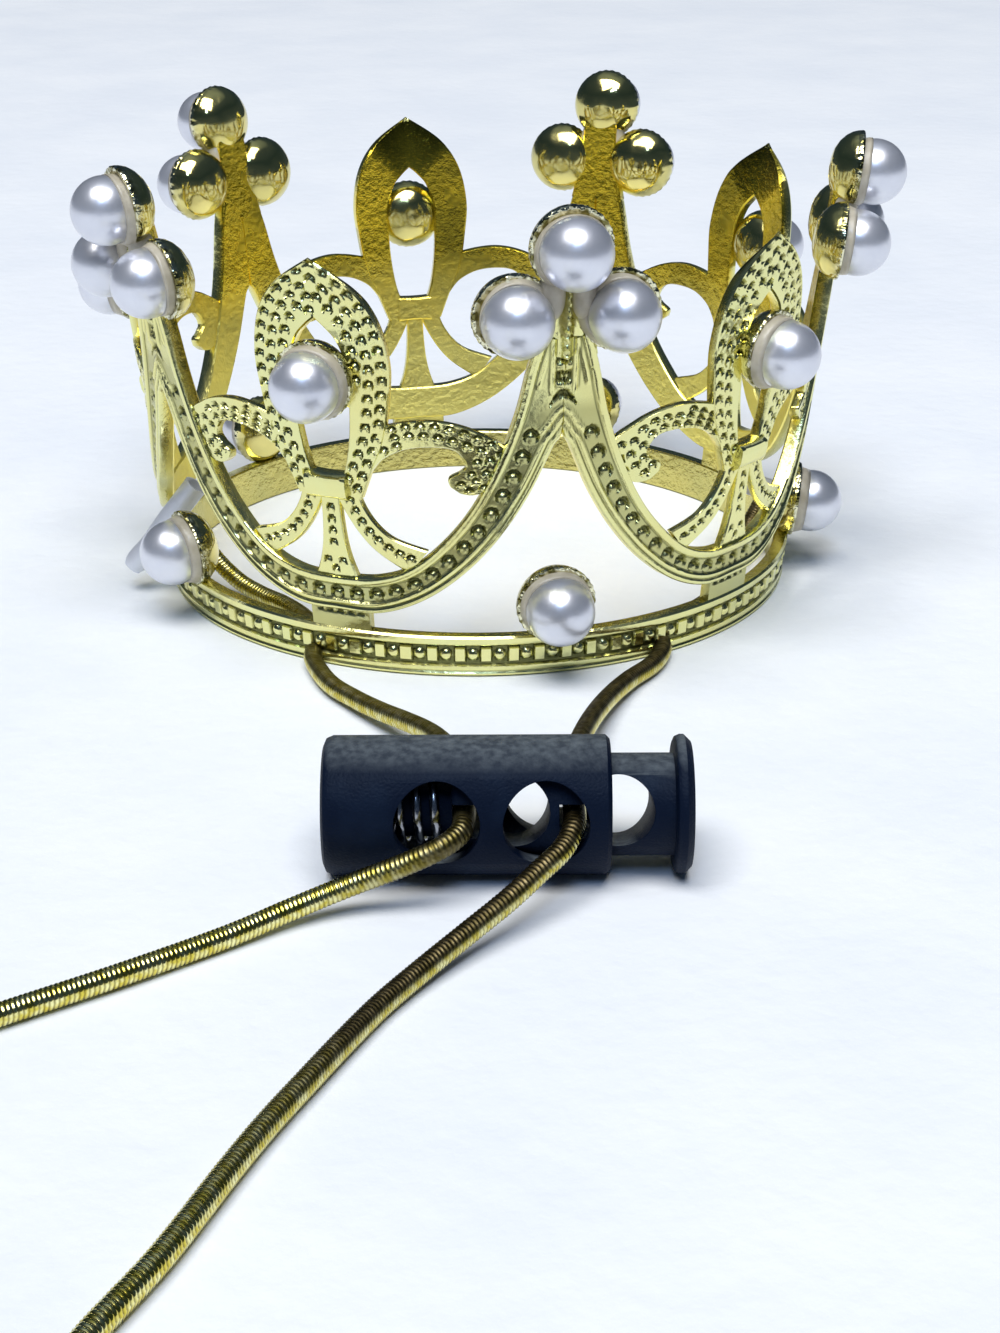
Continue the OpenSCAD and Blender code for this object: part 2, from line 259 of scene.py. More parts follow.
# %% Pearl lacquer and glue
LACQUER_WHITE = (0.83, 0.84, 0.89, 1)
LACQUER_GREY = (0.74, 0.75, 0.81, 1)
LACQUER_PAINTED_RIM_SHADE = (0.62, 0.62, 0.68, 1)
GLUE_BROWN = (0.34, 0.29, 0.19, 1)
GLUE_MILKY = (0.66, 0.61, 0.50, 1)

PEARL_LACQUER, shader, start = finish_of(
    "pearl_lacquer", Coat_Weight=0.35, Coat_Roughness=0.16, IOR=1.6)
cloud = start.noise(330.0, 3.0)
edge = start.node("ShaderNodeLayerWeight", None, {"Blend": 0.35}, out=1)
body = cloud.between(0.3, 0.75).mixed(LACQUER_WHITE, LACQUER_GREY)
# Where the bead is seen at a slant its colour is darker: painted shade at the rim.
feed(shader, Base_Color=(edge * 0.4).mixed(body, LACQUER_PAINTED_RIM_SHADE))
feed(shader, Metallic=0.80 - 0.14 * cloud, Roughness=0.27 + 0.12 * cloud)
feed(shader, Normal=start.bump(start.noise(900.0), 0.03 * MM, 0.6))

GLUE, shader, start = finish_of("glue", Coat_Weight=0.3)
streaks = start.noise(900.0, 3.0)
feed(shader, Base_Color=streaks.mixed(GLUE_BROWN, GLUE_MILKY))
feed(shader, Roughness=0.25 + 0.3 * streaks, Normal=start.bump(streaks, 0.15 * MM, 0.6))

# %% [markdown]
# The lock is moulded in black plastic with a fine spark-eroded skin, which scatters light to a
# soft blue-grey. Where it faces up it is painted lighter, in specks: painted light from above. A
# normal tells which way a point faces, so the painted light stays on top however the lock is seen.

# %% Black plastic
PLASTIC_BLACK = (0.001, 0.004, 0.015, 1)
PLASTIC_RUBBED = (0.004, 0.010, 0.026, 1)
PAINTED_TOP_LIGHT_GREY = (0.115, 0.135, 0.150, 1)

LOCK_PLASTIC, shader, start = finish_of(
    "lock_plastic", Specular_IOR_Level=0.15, Specular_Tint=(0.62, 0.78, 1.0, 1))
skin = start.noise(5200.0)
rub = start.noise(240.0, 3.0).between(0.5, 0.8)
speck = start.noise(1500.0, 3.0).between(0.35, 0.7)
upward = start.node("ShaderNodeNewGeometry", out=1).upward()
# The faces that look up are painted lighter in specks: painted light from above.
painted_top_light = upward.between(0.78, 1.0) * (0.4 + 0.4 * rub + 0.6 * speck)
black = rub.mixed(PLASTIC_BLACK, PLASTIC_RUBBED)
feed(shader, Base_Color=painted_top_light.clipped().mixed(black, PAINTED_TOP_LIGHT_GREY))
feed(shader, Roughness=0.48 + 0.16 * skin - 0.05 * rub)
scuffs = start.noise(1100.0, 3.0)
feed(shader, Normal=start.bump(skin + scuffs * 0.5, 0.06 * MM, 0.8))

# %% [markdown]
# The barbs and the spring are steel. The barbs are rolled from dull, pale sheet, and the spring is
# wound from drawn wire that still shines. Its grey is painted dark: painted shade inside the barrel.

# %% Steel
SHEET_GREY = (0.72, 0.74, 0.79, 1)
SHEET_PALE = (0.84, 0.85, 0.89, 1)
WIRE_PAINTED_SHADE_DARK = (0.26, 0.27, 0.30, 1)
WIRE_PAINTED_SHADE_GREY = (0.46, 0.47, 0.50, 1)

SHEET_STEEL, shader, start = finish_of("sheet_steel", Metallic=0.65)
mottle = start.noise(1500.0)
feed(shader, Base_Color=mottle.mixed(SHEET_GREY, SHEET_PALE))
feed(shader, Roughness=0.5 + 0.12 * mottle, Normal=start.bump(mottle, 0.04 * MM, 0.5))

SPRING_STEEL, shader, start = finish_of("spring_steel", Metallic=1.0)
drawn = start.noise(3000.0, 1.0)
# The wire's grey is painted dark: painted shade inside the barrel.
feed(shader, Base_Color=drawn.mixed(WIRE_PAINTED_SHADE_DARK, WIRE_PAINTED_SHADE_GREY))
feed(shader, Roughness=0.12 + 0.12 * drawn)

# %% [markdown]
# The cord is a rubber core wound with a flat thread of gold film. Each turn of the thread is a rib
# that catches the light on its own, so the turns are in the mesh. Between them the film is
# brown. Pale specks on the gold are painted glints, and near the crown the gold is painted dark
# bronze: a painted reflection of the dark room.

# %% Metallic thread
FILM_GOLD = (0.74, 0.62, 0.09, 1)
FILM_PAINTED_GLINT = (1.0, 0.96, 0.46, 1)
PAINTED_REFLECTION_DARK = (0.05, 0.04, 0.02, 1)
PAINTED_REFLECTION_LIGHT = (0.16, 0.125, 0.065, 1)
GROOVE_BROWN = (0.16, 0.12, 0.025, 1)

GOLD_THREAD, shader, start = finish_of("gold_thread", Metallic=1.0)
groove = start.attribute("groove").clipped()
rubbed = start.attribute("rubbed").clipped()
painted_glint_fleck = start.noise(1300.0).between(0.4, 0.65)
# Pale specks on the gold are painted glints.
gold_and_painted_glints = painted_glint_fleck.mixed(FILM_GOLD, FILM_PAINTED_GLINT)
# Where the mark is high the gold turns to dark bronze: a painted reflection of the dark room.
thread = rubbed.mixed(gold_and_painted_glints, painted_glint_fleck.mixed(PAINTED_REFLECTION_DARK, PAINTED_REFLECTION_LIGHT))
grooved = groove * (0.75 - 0.5 * rubbed)
feed(shader, Base_Color=grooved.mixed(thread, GROOVE_BROWN))
feed(shader, Roughness=0.11 + 0.25 * rubbed + 0.16 * groove)

# %% [markdown]
# Every piece is a mesh made of points in millimetres and faces. It rides on one of the two bodies
# of the frame: the crown, or the plunger of the lock. Numbers that a finish reads, such as the
# painted shade of the relief, are stored at the points.

# %% Make a piece
SHARP = math.radians(40)
NEVER_SHARP = math.pi


def piece(name, points, faces, material, body="crown", marks=None, sharp=SHARP):
    mesh = bpy.data.meshes.new(name)
    mesh.from_pydata((np.asarray(points, float) * MM).tolist(), [], faces)
    for key, values in (marks or {}).items():
        mark = mesh.attributes.new(key, "FLOAT", "POINT")
        mark.data.foreach_set("value", np.asarray(values, np.float32))
    mesh.materials.append(material)
    mesh.shade_smooth()
    mesh.set_sharp_from_angle(angle=sharp)
    obj = bpy.data.objects.new(name, mesh)
    scene.collection.objects.link(obj)
    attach(obj, body)
    print(name, "faces:", len(mesh.polygons))
    return obj


def ring_faces(rows, around, closed=False):
    """Quads between rings of points, and a cap on each end of an open run."""
    faces = []
    for j in range(rows if closed else rows - 1):
        a = j * around
        b = ((j + 1) % rows) * around
        faces += [(a + i, a + (i + 1) % around, b + (i + 1) % around, b + i) for i in range(around)]
    if not closed:
        faces.append(tuple(range(around - 1, -1, -1)))
        faces.append(tuple((rows - 1) * around + i for i in range(around)))
    return faces


class Heap:
    """Gathers the points, faces and marks of all the parts that are joined in one piece."""

    def __init__(self):
        self.points, self.faces, self.marks = [], [], {}
        self.count = 0

    def add(self, points, faces, **marks):
        self.points.append(points)
        self.faces += [tuple(i + self.count for i in face) for face in faces]
        self.count += len(points)
        for key, values in marks.items():
            self.marks.setdefault(key, []).append(values)

    def make(self, name, material, sharp=SHARP):
        marks = {key: np.concatenate(values) for key, values in self.marks.items()}
        points = np.concatenate(self.points)
        return piece(name, points, self.faces, material, marks=marks, sharp=sharp)


# %% [markdown]
# A run of given points becomes a smooth curve that passes through all of them. The same rule
# was used for the solids, so the dressed metal and the cord lie where the solids are.

# %% Smooth curves
def smooth(points, steps=12):
    p = np.asarray(points, float)
    last = len(p) - 1
    run = []
    for i in range(last):
        a, b, c, d = p[max(i - 1, 0)], p[i], p[i + 1], p[min(i + 2, last)]
        for t in np.arange(steps) / steps:
            bend = (2 * a - 5 * b + 4 * c - d) * t * t + (3 * b - a - 3 * c + d) * t ** 3
            run.append(0.5 * (2 * b + (c - a) * t + bend))
    run.append(p[last])
    return np.array(run)


def distances(points):
    """How far along the line each of its points lies."""
    steps = np.linalg.norm(np.diff(points, axis=0), axis=1)
    return np.concatenate([[0], np.cumsum(steps)])


def respaced(points, gap):
    """The same curve with points the given distance apart, measured on its first three columns."""
    along = distances(points[:, :3])
    count = max(2, int(round(along[-1] / gap)) + 1)
    wanted = np.linspace(0, along[-1], count)
    return np.stack([np.interp(wanted, along, column) for column in points.T], 1)


def turned_points(points, angle):
    """Points turned about the crown's axis."""
    c, s = math.cos(angle), math.sin(angle)
    return np.asarray(points, float) @ np.array([[c, s, 0], [-s, c, 0], [0, 0, 1]])


# %% [markdown]
# The chin strap is one cord. It starts in a barb inside the crown, leaves under the band, passes
# through the left hole of the lock, makes a wide loop on the floor and comes back through the
# right hole to the second barb. The route repeats the solids' own points, in millimetres.

# %% The strap's route
STRAP_ROUTE = [
    (-27.8, -9, 6.7), (-26.9, -9, 5.9), (-25.7, -9.2, 4.4), (-24.2, -9.9, 2.8), (-22.4, -11.1, 1.6),
    (-20.2, -12.8, 1), (-17.8, -15.2, 0.9), (-15.8, -18.4, 0.9), (-14.7, -21.8, 0.9),
    (-14.5, -25.2, 0.9), (-14.3, -28.6, 0.9), (-12.6, -33.6, 1), (-10.1, -37.5, 1.2),
    (-7.7, -41, 1.6), (-5.5, -44.3, 2.2), (-3.6, -47.8, 2.9), (-2.2, -52, 3.7),
    (-1.2, -56, 4.2), (-0.8, -60.4, 4.6), (-0.6, -64.6, 5),
    (-0.6, -68.6, 5.4), (-1, -70.2, 5.2), (-2.5, -71.5, 4.7), (-5.2, -71.9, 3.6), (-9, -72.3, 2.2),
    (-12.9, -74, 1.3), (-17, -77, 0.9), (-23.6, -82, 0.9), (-30.5, -86.8, 0.9),
    (-40, -93.6, 0.9), (-49, -102.4, 0.9), (-54.4, -113, 0.9), (-54.4, -125, 0.9),
    (-48.4, -135, 0.9), (-38.6, -139.4, 0.9), (-29.6, -136.2, 0.9), (-23.6, -128, 0.9),
    (-19.8, -118.6, 0.9), (-16.8, -112, 0.9), (-13.8, -103.8, 0.9), (-12, -99.2, 0.9),
    (-10, -94.7, 0.9), (-8, -90.3, 0.9), (-5.8, -85.8, 0.9), (-3.1, -81.7, 1.2), (-0.2, -78.2, 1.9),
    (2.6, -75.4, 2.9), (4.9, -72.9, 3.9), (6.5, -71, 4.6),
    (7.3, -68.8, 5.3), (7.4, -65, 5.1), (7.4, -60.6, 4.6), (7.6, -56, 4), (8.2, -51, 3.3),
    (9.5, -44.4, 2.4), (11.2, -38.3, 1.6), (13.2, -33.4, 1.1), (15.5, -29.5, 0.9),
    (16.6, -26.2, 0.9), (16.7, -22.8, 0.9), (17.8, -19.4, 0.9), (20.6, -16, 0.9), (23, -11.8, 0.9),
    (24.2, -7.4, 1), (25.2, -3.6, 1.5), (26.4, -0.8, 2.6), (27.4, 0.7, 3.9), (28.1, 1.1, 5.2)]
THREAD_PITCH = 0.36
RINGS_A_TURN = 6

cord_run = respaced(smooth(STRAP_ROUTE), THREAD_PITCH / RINGS_A_TURN)
cord_run = turned_points(cord_run, STRAP_TURN)

# %% [markdown]
# The winding is cut into a tube: its radius dips a little between the turns of the thread, along a
# screw line. Two numbers are stored with it: how deep a point lies in the groove, and how much
# painted dark reflection the gold has. The cord is bright round the loop and painted dark near the
# crown, but for a strip along its side that stays bright: a painted highlight.

# %% The strap
CORD_D = 1.7
TUBE_SIDES = 10
GROOVE_DEPTH = 0.05
DARK_REFLECTION_ALONG = ([0, 0.06, 0.22, 0.25, 0.63, 0.7, 1], [0, 0.8, 0.9, 0, 0, 1, 1])
STRIP_FROM = 0.62


def swept_tube(route, radius_at):
    """A tube along the route. radius_at gives the radius at a distance and an angle."""
    ahead = np.gradient(route, axis=0)
    ahead /= np.linalg.norm(ahead, axis=1)[:, None]
    side = np.cross(ahead, (0, 0, 1.0))
    side /= np.linalg.norm(side, axis=1)[:, None]
    top = np.cross(side, ahead)
    along = distances(route)
    angle = np.arange(TUBE_SIDES) * 2 * math.pi / TUBE_SIDES
    radius = radius_at(along[:, None], angle[None, :])
    flat = np.cos(angle)[None, :, None] * side[:, None, :]
    tall = np.sin(angle)[None, :, None] * top[:, None, :]
    points = route[:, None, :] + radius[:, :, None] * (flat + tall)
    faces = ring_faces(len(route), TUBE_SIDES)
    return points.reshape(-1, 3), faces, along[:, None], angle[None, :]


def dip(along, angle):
    """0 on top of each turn of the thread, and 1 between two turns."""
    return 0.5 - 0.5 * np.cos(2 * math.pi * along / THREAD_PITCH - angle)


def wound_radius(along, angle):
    return CORD_D / 2 - GROOVE_DEPTH * dip(along, angle) ** 1.5


points, faces, along, angle = swept_tube(cord_run, wound_radius)
# The painted dark reflection along the cord: dark bronze on the stretches between the lock and the
# crown.
varied_tone = np.interp(along / along[-1], *DARK_REFLECTION_ALONG)
# A strip along one side of the tube is kept bright: a painted highlight.
painted_lit_strip = np.clip(3.5 * (np.cos(angle) - 0.3 * np.sin(angle) - STRIP_FROM), 0, 1)
marks = {"groove": (dip(along, angle) ** 2).ravel(),
         "rubbed": (varied_tone * (1 - 0.85 * painted_lit_strip)).ravel()}
strap = piece("strap", points, faces, GOLD_THREAD, marks=marks, sharp=NEVER_SHARP)
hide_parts("strap_cord")

# %% [markdown]
# The casting was drawn flat, cast and bent round, and it is made the same way here. Each bar of
# the openwork is a strip between two edges of the flat drawing, with a fine net of points across
# it. The net is lifted and sunk to make the relief, and then bent on to the cone of the wall. A
# row of numbers is a point on one edge and the point across from it, each as its place round the
# crown and its height, in millimetres. They are the solids' own edges.

# %% The flat drawing
REPEATS = 5
SECTOR = 2 * math.pi / REPEATS
BAND_R = 30
BAND_H = 3.9
PATTERN_R = 1.08 * BAND_R
HALF_PITCH = math.pi * PATTERN_R / REPEATS
SWAG_ROWS = [
    (0, 9, 0, 5.7), (3.8, 9.2, 4.1, 5.8), (7.2, 10.4, 8.2, 7.3), (10.2, 12.9, 11.9, 9.9),
    (12.7, 16, 15, 13.2), (14.8, 20, 17.6, 17.2), (16.4, 24.4, 19.6, 21.6),
    (17.4, 28.6, HALF_PITCH, 23.4), (18.2, 31.4, HALF_PITCH, 31)]
COLUMN_ROWS = [
    (-2.8, 29.6, 2.8, 29.6), (-2.3, 32, 2.3, 32), (-1.9, 34.5, 1.9, 34.5), (-1.6, 38.4, 1.6, 38.4)]
PETAL_ROWS = [
    (3, 16.5, 0.6, 17.2), (4.1, 19.2, 1.7, 19.2), (5.3, 22, 2.3, 22), (5.9, 25.6, 2.55, 25.4),
    (6.1, 28.8, 2.5, 28.4), (5.3, 32.4, 1.8, 30.6), (3.4, 35.2, 0.8, 31.8), (0, 37.6, 0, 32.5)]
SCROLL_ROWS = [
    (5, 23.3, 4, 19), (7.2, 23.8, 5.2, 20.4), (9.3, 24, 7.2, 21.4), (11.5, 23.7, 9.6, 21.7),
    (13.6, 22.9, 11.4, 21.4), (15.9, 21.3, 12.3, 20.2), (15.4, 18.4, 11.8, 19.5),
    (13.1, 17.4, 10.8, 18.9), (11.9, 17.5, 10.9, 18.2)]
SIDE_RAY_ROWS = [
    (2.6, 17.4, 0.6, 16.6), (3.2, 15.7, 1.7, 14.5), (4.3, 14.1, 2.9, 12.8),
    (5.9, 12.9, 4.4, 11.4), (8.8, 12, 7, 9.8)]
MIDDLE_RAY_ROWS = [
    (-0.9, 16.6, 0.9, 16.6), (-0.95, 14.4, 0.95, 14.4), (-1.15, 12.2, 1.15, 12.2),
    (-1.55, 10.4, 1.55, 10.4), (-2.2, 8.7, 2.2, 8.7)]
COLUMN_TURNS = [SECTOR * i for i in range(REPEATS)]
PETAL_TURNS = [SECTOR * (i + 0.5) for i in range(REPEATS)]
print("one repeat of the drawing is", round(2 * HALF_PITCH, 2), "mm wide")

# %% [markdown]
# The rows are too few for a smooth edge, so they are made into curves with a point every cell.
# Half of a shape is enough, because the other half is its mirror image.

# %% Work with rows
CELL = 0.175
MIRROR = (-1, 1, -1, 1)


def stepped(table):
    """Rows of a short table, smoothed and spaced a cell apart."""
    dense = smooth(table)
    middle = (dense[:, :2] + dense[:, 2:]) / 2
    tagged = np.concatenate([middle, np.zeros((len(dense), 1)), dense], 1)
    return respaced(tagged, CELL)[:, 3:]


def swapped(rows):
    """The mirror image of rows, with its two edges exchanged so that it faces the same way."""
    return rows[:, [2, 3, 0, 1]] * MIRROR


def distance_to(points, line):
    """The distance of each point of the flat drawing from a line of points."""
    best = np.full(len(points), 1e9)
    for a, b in zip(line[:-1], line[1:]):
        way = b - a
        t = np.clip(((points - a) @ way) / max(way @ way, 1e-12), 0, 1)
        gap = points - a - t[:, None] * way
        best = np.minimum(best, np.einsum("ij,ij->i", gap, gap))
    return np.sqrt(best)


def fade(value, start, over):
    """0 where the value is start or less, and 1 where it is at least the given step more."""
    return np.clip((value - start) / over, 0, 1)


def line_at(gap, place, wide):
    """1 where the gap is the place of a line, and soft down to 0 on both sides of it."""
    return np.exp(-((gap - place) / wide) ** 2)


# %% [markdown]
# A pit is a small round hollow with a bead left standing low in it, like a stone in a plain
# setting, so the painted shade of the pit is a crescent over the bead. One function gives the
# heights of the points in a pit and how dark they are painted. Rows of pits follow an edge at a
# set distance.

# %% Pits with beads
PIT_DEPTH = 0.36
FULL_RADIUS = 0.55
PIT_WALL = 0.14
BEAD_SHARE = 0.76
BEAD_DROP = 0.4
PIT_MARGIN = 0.12
ROW_STARTS = (0.5, 0.98)


def sink_pits(flat, height, deep, pits):
    """Sinks the pits, each an x, z and radius, into the heights of the points."""
    for x, z, radius in pits:
        near = np.nonzero((np.abs(flat[:, 0] - x) < radius) & (np.abs(flat[:, 1] - z) < radius))[0]
        aside, above = (flat[near, 0] - x) / radius, (flat[near, 1] - z) / radius
        r = np.hypot(aside, above)
        depth = PIT_DEPTH * min(1.0, radius / FULL_RADIUS)
        wall = np.clip((1 - r) / PIT_WALL, 0, 1)
        from_bead = np.hypot(aside, above + BEAD_DROP)
        bead = np.sqrt(np.clip(1 - (from_bead / BEAD_SHARE) ** 2, 0, 1))
        # The pit's painted shade: a crescent, darkest under its upper rim, over the bead.
        dark = np.clip(0.75 + 1.2 * above, 0.15, 1) * wall * np.clip(1 - 1.5 * bead, 0, 1)
        height[near] += depth * wall * (1.1 * bead - 1)
        deep[near] = np.maximum(deep[near], dark)


def pits_along(line, pitch, radius, start=0.5):
    """Pits along a line of the flat drawing. start is where the first lies in its pitch."""
    along = distances(line)
    count = int(along[-1] / pitch)
    spare = along[-1] - count * pitch
    places = spare / 2 + (np.arange(count) + start) * pitch
    return [(np.interp(s, along, line[:, 0]), np.interp(s, along, line[:, 1]), radius)
            for s in places]


def rows_of_pits(edge, other, first, gap, pitch, radius):
    """Staggered rows of pits at set distances from an edge, as many as the metal has room for."""
    across = other - edge
    width = np.linalg.norm(across, axis=1)
    pits = []
    row = 0
    while True:
        d = first + row * gap
        room = np.nonzero(width > d + radius + PIT_MARGIN)[0]
        if len(room) < 3:
            return pits
        line = edge + across * (d / width)[:, None]
        for run in np.split(room, np.nonzero(np.diff(room) > 1)[0] + 1):
            if len(run) > 2:
                pits += pits_along(line[run], pitch, radius, ROW_STARTS[row % 2])
        row += 1


# %% [markdown]
# Each strip has its front net and a plain back of four lines of points. The front edges are
# rounded off a little, because cast and tumbled metal has no sharp arris. The wall leans outwards,
# so a point of the drawing lies further out the higher it is.

# %% Make a strip of metal
LEAN = 0.116
WALL = 1.3
EDGE_ROUND = 0.14
BACK_ROUND = 0.15


def on_wall(flat, out):
    """Points of the flat drawing, bent on to the wall and lifted outwards."""
    turn = flat[:, 0] / PATTERN_R
    r = BAND_R + LEAN * flat[:, 1] + out
    return np.stack([r * np.sin(turn), -r * np.cos(turn), flat[:, 1]], 1)


def back_of(rows, width, sunk, thin_from):
    """The lines of points on a strip's back, how far out they lie, and how dark they are painted.
    Above the height thin_from the back leans forward, the metal gets thinner, and it is painted
    darker: a painted reflection of the dark room."""
    a, b = rows[:, :2], rows[:, 2:]
    inset = np.minimum(BACK_ROUND / np.maximum(width, 0.2), 0.3)[:, None]
    net = np.stack([b, b + (a - b) * inset, a + (b - a) * inset, a], 1)
    back = WALL - sunk
    out = np.tile([BACK_ROUND - back, -back, -back, BACK_ROUND - back], (len(rows), 1))
    rise = np.maximum(net[:, :, 1] - thin_from, 0)
    return net, out + 0.3 * rise ** 2 / (rise + 0.4), np.clip(0.8 * rise, 0, 0.95)


def strip(metal, rows, turns, relief, pits=(), sunk=0.0, closed=False, thin_from=math.inf):
    """One strip of metal between the two edges in rows, put on the wall at each of the turns.
    relief gives the height and the painted darkness of the points of the front net."""
    a, b = rows[:, :2], rows[:, 2:]
    width = np.linalg.norm(b - a, axis=1)
    across = max(4, int(math.ceil(width.max() / CELL)))
    v = np.linspace(0, 1, across + 1)
    net = a[:, None, :] + (b - a)[:, None, :] * v[None, :, None]
    shape = net.shape[:2]
    flat = net.reshape(-1, 2)
    height, deep = relief(flat)
    sink_pits(flat, height, deep, pits)
    from_edge = (np.minimum(v, 1 - v)[None, :] * width[:, None]).ravel()
    height = height - EDGE_ROUND * np.clip(1 - from_edge / EDGE_ROUND, 0, 1) ** 2 - sunk
    back_net, back_out, back_painted_dark = back_of(rows, width, sunk, thin_from)
    flats = np.concatenate([net, back_net], 1).reshape(-1, 2)
    outs = np.concatenate([height.reshape(shape), back_out], 1).ravel()
    painted_darks = np.concatenate([deep.reshape(shape), back_painted_dark], 1).ravel()
    fronts = np.concatenate([np.ones(shape), np.zeros(back_out.shape)], 1).ravel()
    bent = on_wall(flats, outs)
    faces = ring_faces(len(rows), across + 5, closed)
    for turn in turns:
        metal.add(turned_points(bent, turn), faces, deep=painted_darks, front=fronts)


# %% [markdown]
# The swag has a pair of ridges along its inner edge, a channel with a row of beads in pits, and
# two more ridges along its outer edge. Where two swags meet, their outer edges go on into an
# upside down V. All of this depends only on how far a point lies from the two edges, so each
# profile is a table: the distances from the edge, and the heights there.

# %% Ridges of a swag
INNER_RIDGES = ([0, 0.12, 0.4, 0.68, 0.8, 0.9, 1.0], [0.02, 0.14, 0.2, 0.14, -0.04, -0.04, -0.1])
OUTER_RIDGES = ([0, 0.12, 0.35, 0.52, 0.6, 0.72, 0.95, 1.1, 1.2],
                [0.02, 0.12, 0.14, 0.0, 0.0, 0.12, 0.16, 0.02, -0.1])
FIELD = -0.05
V_TOP = 25.4
V_SLANT = 0.66

half_swag = stepped(SWAG_ROWS)
swag_rows = np.concatenate([half_swag[:0:-1] * MIRROR, half_swag])
inner_edge = swag_rows[:, :2]
arch = half_swag[half_swag[:, 2] < HALF_PITCH - 0.25][:, 2:]
way_up = (HALF_PITCH - arch[-1, 0]) / V_SLANT
arch = np.concatenate([arch, [[HALF_PITCH + V_SLANT, arch[-1, 1] + way_up + 1.0]]])
outer_edge = np.concatenate([arch[::-1] * (-1, 1), arch])


def from_column(flat):
    """How far a point lies from the middle line of the nearest column."""
    return np.abs(flat[:, 0] - HALF_PITCH * np.sign(flat[:, 0]))


def swag_relief(flat):
    z = flat[:, 1]
    from_inner = distance_to(flat, inner_edge)
    from_outer = distance_to(flat, outer_edge)
    from_tip = from_column(flat)
    upper = fade(z, 26.8, 0.5)
    by_arch = fade(z, 22.4, 0.8) * (1 - fade(z, 26.0, 0.6))
    height = np.maximum.reduce([
        np.interp(from_inner, *INNER_RIDGES),
        np.interp(from_outer, *OUTER_RIDGES),
        FIELD + 0.17 * line_at(from_inner, 1.2, 0.22) * upper,
        FIELD + 0.2 * line_at(from_tip, 0.95, 0.17) * fade(z, 26.2, 0.4),
        FIELD + 0.2 * line_at(from_outer, 1.55, 0.2) * by_arch])
    # The grooves, the low field under the V, and the lines by the columns' tips and the arch are
    # painted dark: painted shade.
    grooves = [(from_inner, 0.88, 0.09), (from_outer, 0.56, 0.07), (from_outer, 1.2, 0.09)]
    below_v = 1 - fade(z, V_TOP - 0.6, 1.2)
    by_tip = line_at(from_tip, 1.27, 0.1) + line_at(from_tip, 0.68, 0.07)
    dark = np.maximum.reduce([
        sum(0.95 * line_at(gap, place, wide) for gap, place, wide in grooves),
        (0.12 + 0.3 * below_v) * (1 - fade(height, -0.03, 0.05)),
        0.75 * by_tip * fade(z, 26.6, 0.4),
        0.8 * by_arch * line_at(from_outer, 1.95, 0.1),
        0.5 * upper * line_at(from_inner, 1.5, 0.06)])
    return height, dark


print("points on half a swag's edge:", len(half_swag))

# %% [markdown]
# On the column, over the top of the V, a small hood is cut in the shape of an arch. Over it stand
# two small square frames with a knob under each. Between the pearls a narrow twisted ridge goes on.

# %% Details of a column
HOOD_TOP = 26.4
HOOD_HALF = 1.25
HOOD_THICK = 0.32
FRAME_Z = (27.9, 29.6)
FRAME_HALF = (0.66, 0.42)
KNOB_HALF = (0.7, 0.4)
KNOB_DROP = 0.85
TWIST_HALF = 0.38
TWIST_PITCH = 0.8


def column_relief(flat):
    height, dark = swag_relief(flat)
    z = flat[:, 1]
    aside = from_column(flat)
    thick = HOOD_THICK * np.clip(1 - (aside / HOOD_HALF) ** 2, 0, 1)
    from_hood = np.abs(z - (HOOD_TOP - 0.8 * aside ** 2))
    hood = fade(thick - from_hood, -0.05, 0.1) * (thick > 0)
    height = height - 0.3 * hood
    for middle in FRAME_Z:
        size = np.maximum(aside / FRAME_HALF[0], np.abs(z - middle) / FRAME_HALF[1])
        cut = fade(size, 0.4, 0.2) * (1 - fade(size, 0.85, 0.2))
        dark = np.maximum(dark, cut)
        below = (z - middle + KNOB_DROP) / KNOB_HALF[1]
        knob = np.sqrt(np.clip(1 - (aside / KNOB_HALF[0]) ** 2 - below ** 2, 0, 1))
        height = height - 0.25 * cut + 0.25 * knob
    # The hood and the cuts of the frames are painted dark: painted shade.
    return height, np.clip(np.maximum(dark, hood * 0.95), 0, 1)


def twisted(flat):
    ridge = np.exp(-(flat[:, 0] / TWIST_HALF) ** 2)
    twist = 0.5 + 0.5 * np.cos(2 * math.pi * (flat[:, 1] + flat[:, 0]) / TWIST_PITCH)
    # The grooves of the twist are painted darker: painted shade.
    return ridge * (0.8 + 0.3 * twist), 0.4 * ridge * (1 - twist)


print("frames on a column:", len(FRAME_Z))

# %% [markdown]
# The row of beads runs in the middle of the channel. For every row of points across the bar, the
# middle is the point that lies as far from the inner ridges as from the outer ones.

# %% Swags and columns
BEAD_PITCH = 1.95
SWAG_PIT_R = 0.7

across = np.linspace(0, 1, 41)[:, None]
middle = []
for row in half_swag:
    line = row[:2] + (row[2:] - row[:2]) * across
    to_inner = distance_to(line, inner_edge) - INNER_RIDGES[0][-1]
    to_outer = distance_to(line, outer_edge) - OUTER_RIDGES[0][-1]
    middle.append(line[np.argmin(np.abs(to_inner - to_outer))])
middle = np.array(middle)
channel = middle[(middle[:, 0] < HALF_PITCH - 1.9) & (middle[:, 1] < V_TOP)]
channel = np.concatenate([channel[::-1] * (-1, 1), channel[1:]])
pits = pits_along(channel, BEAD_PITCH, SWAG_PIT_R)
print("beads on a swag:", len(pits))

metal = Heap()
strip(metal, swag_rows, PETAL_TURNS, column_relief, pits)
strip(metal, stepped(COLUMN_ROWS), COLUMN_TURNS, twisted, sunk=0.1)
swags = metal.make("casting_swags", CAST_GOLD)
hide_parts("casting")

# %% [markdown]
# The petal, its two scrolls and the three rays are set all over with smaller beads in pits. Their
# rows start at the outer edge, and each second row is shifted by about half a pitch. The tip of
# the petal is thinner at the back, and painted dark there: a painted reflection of the dark room.

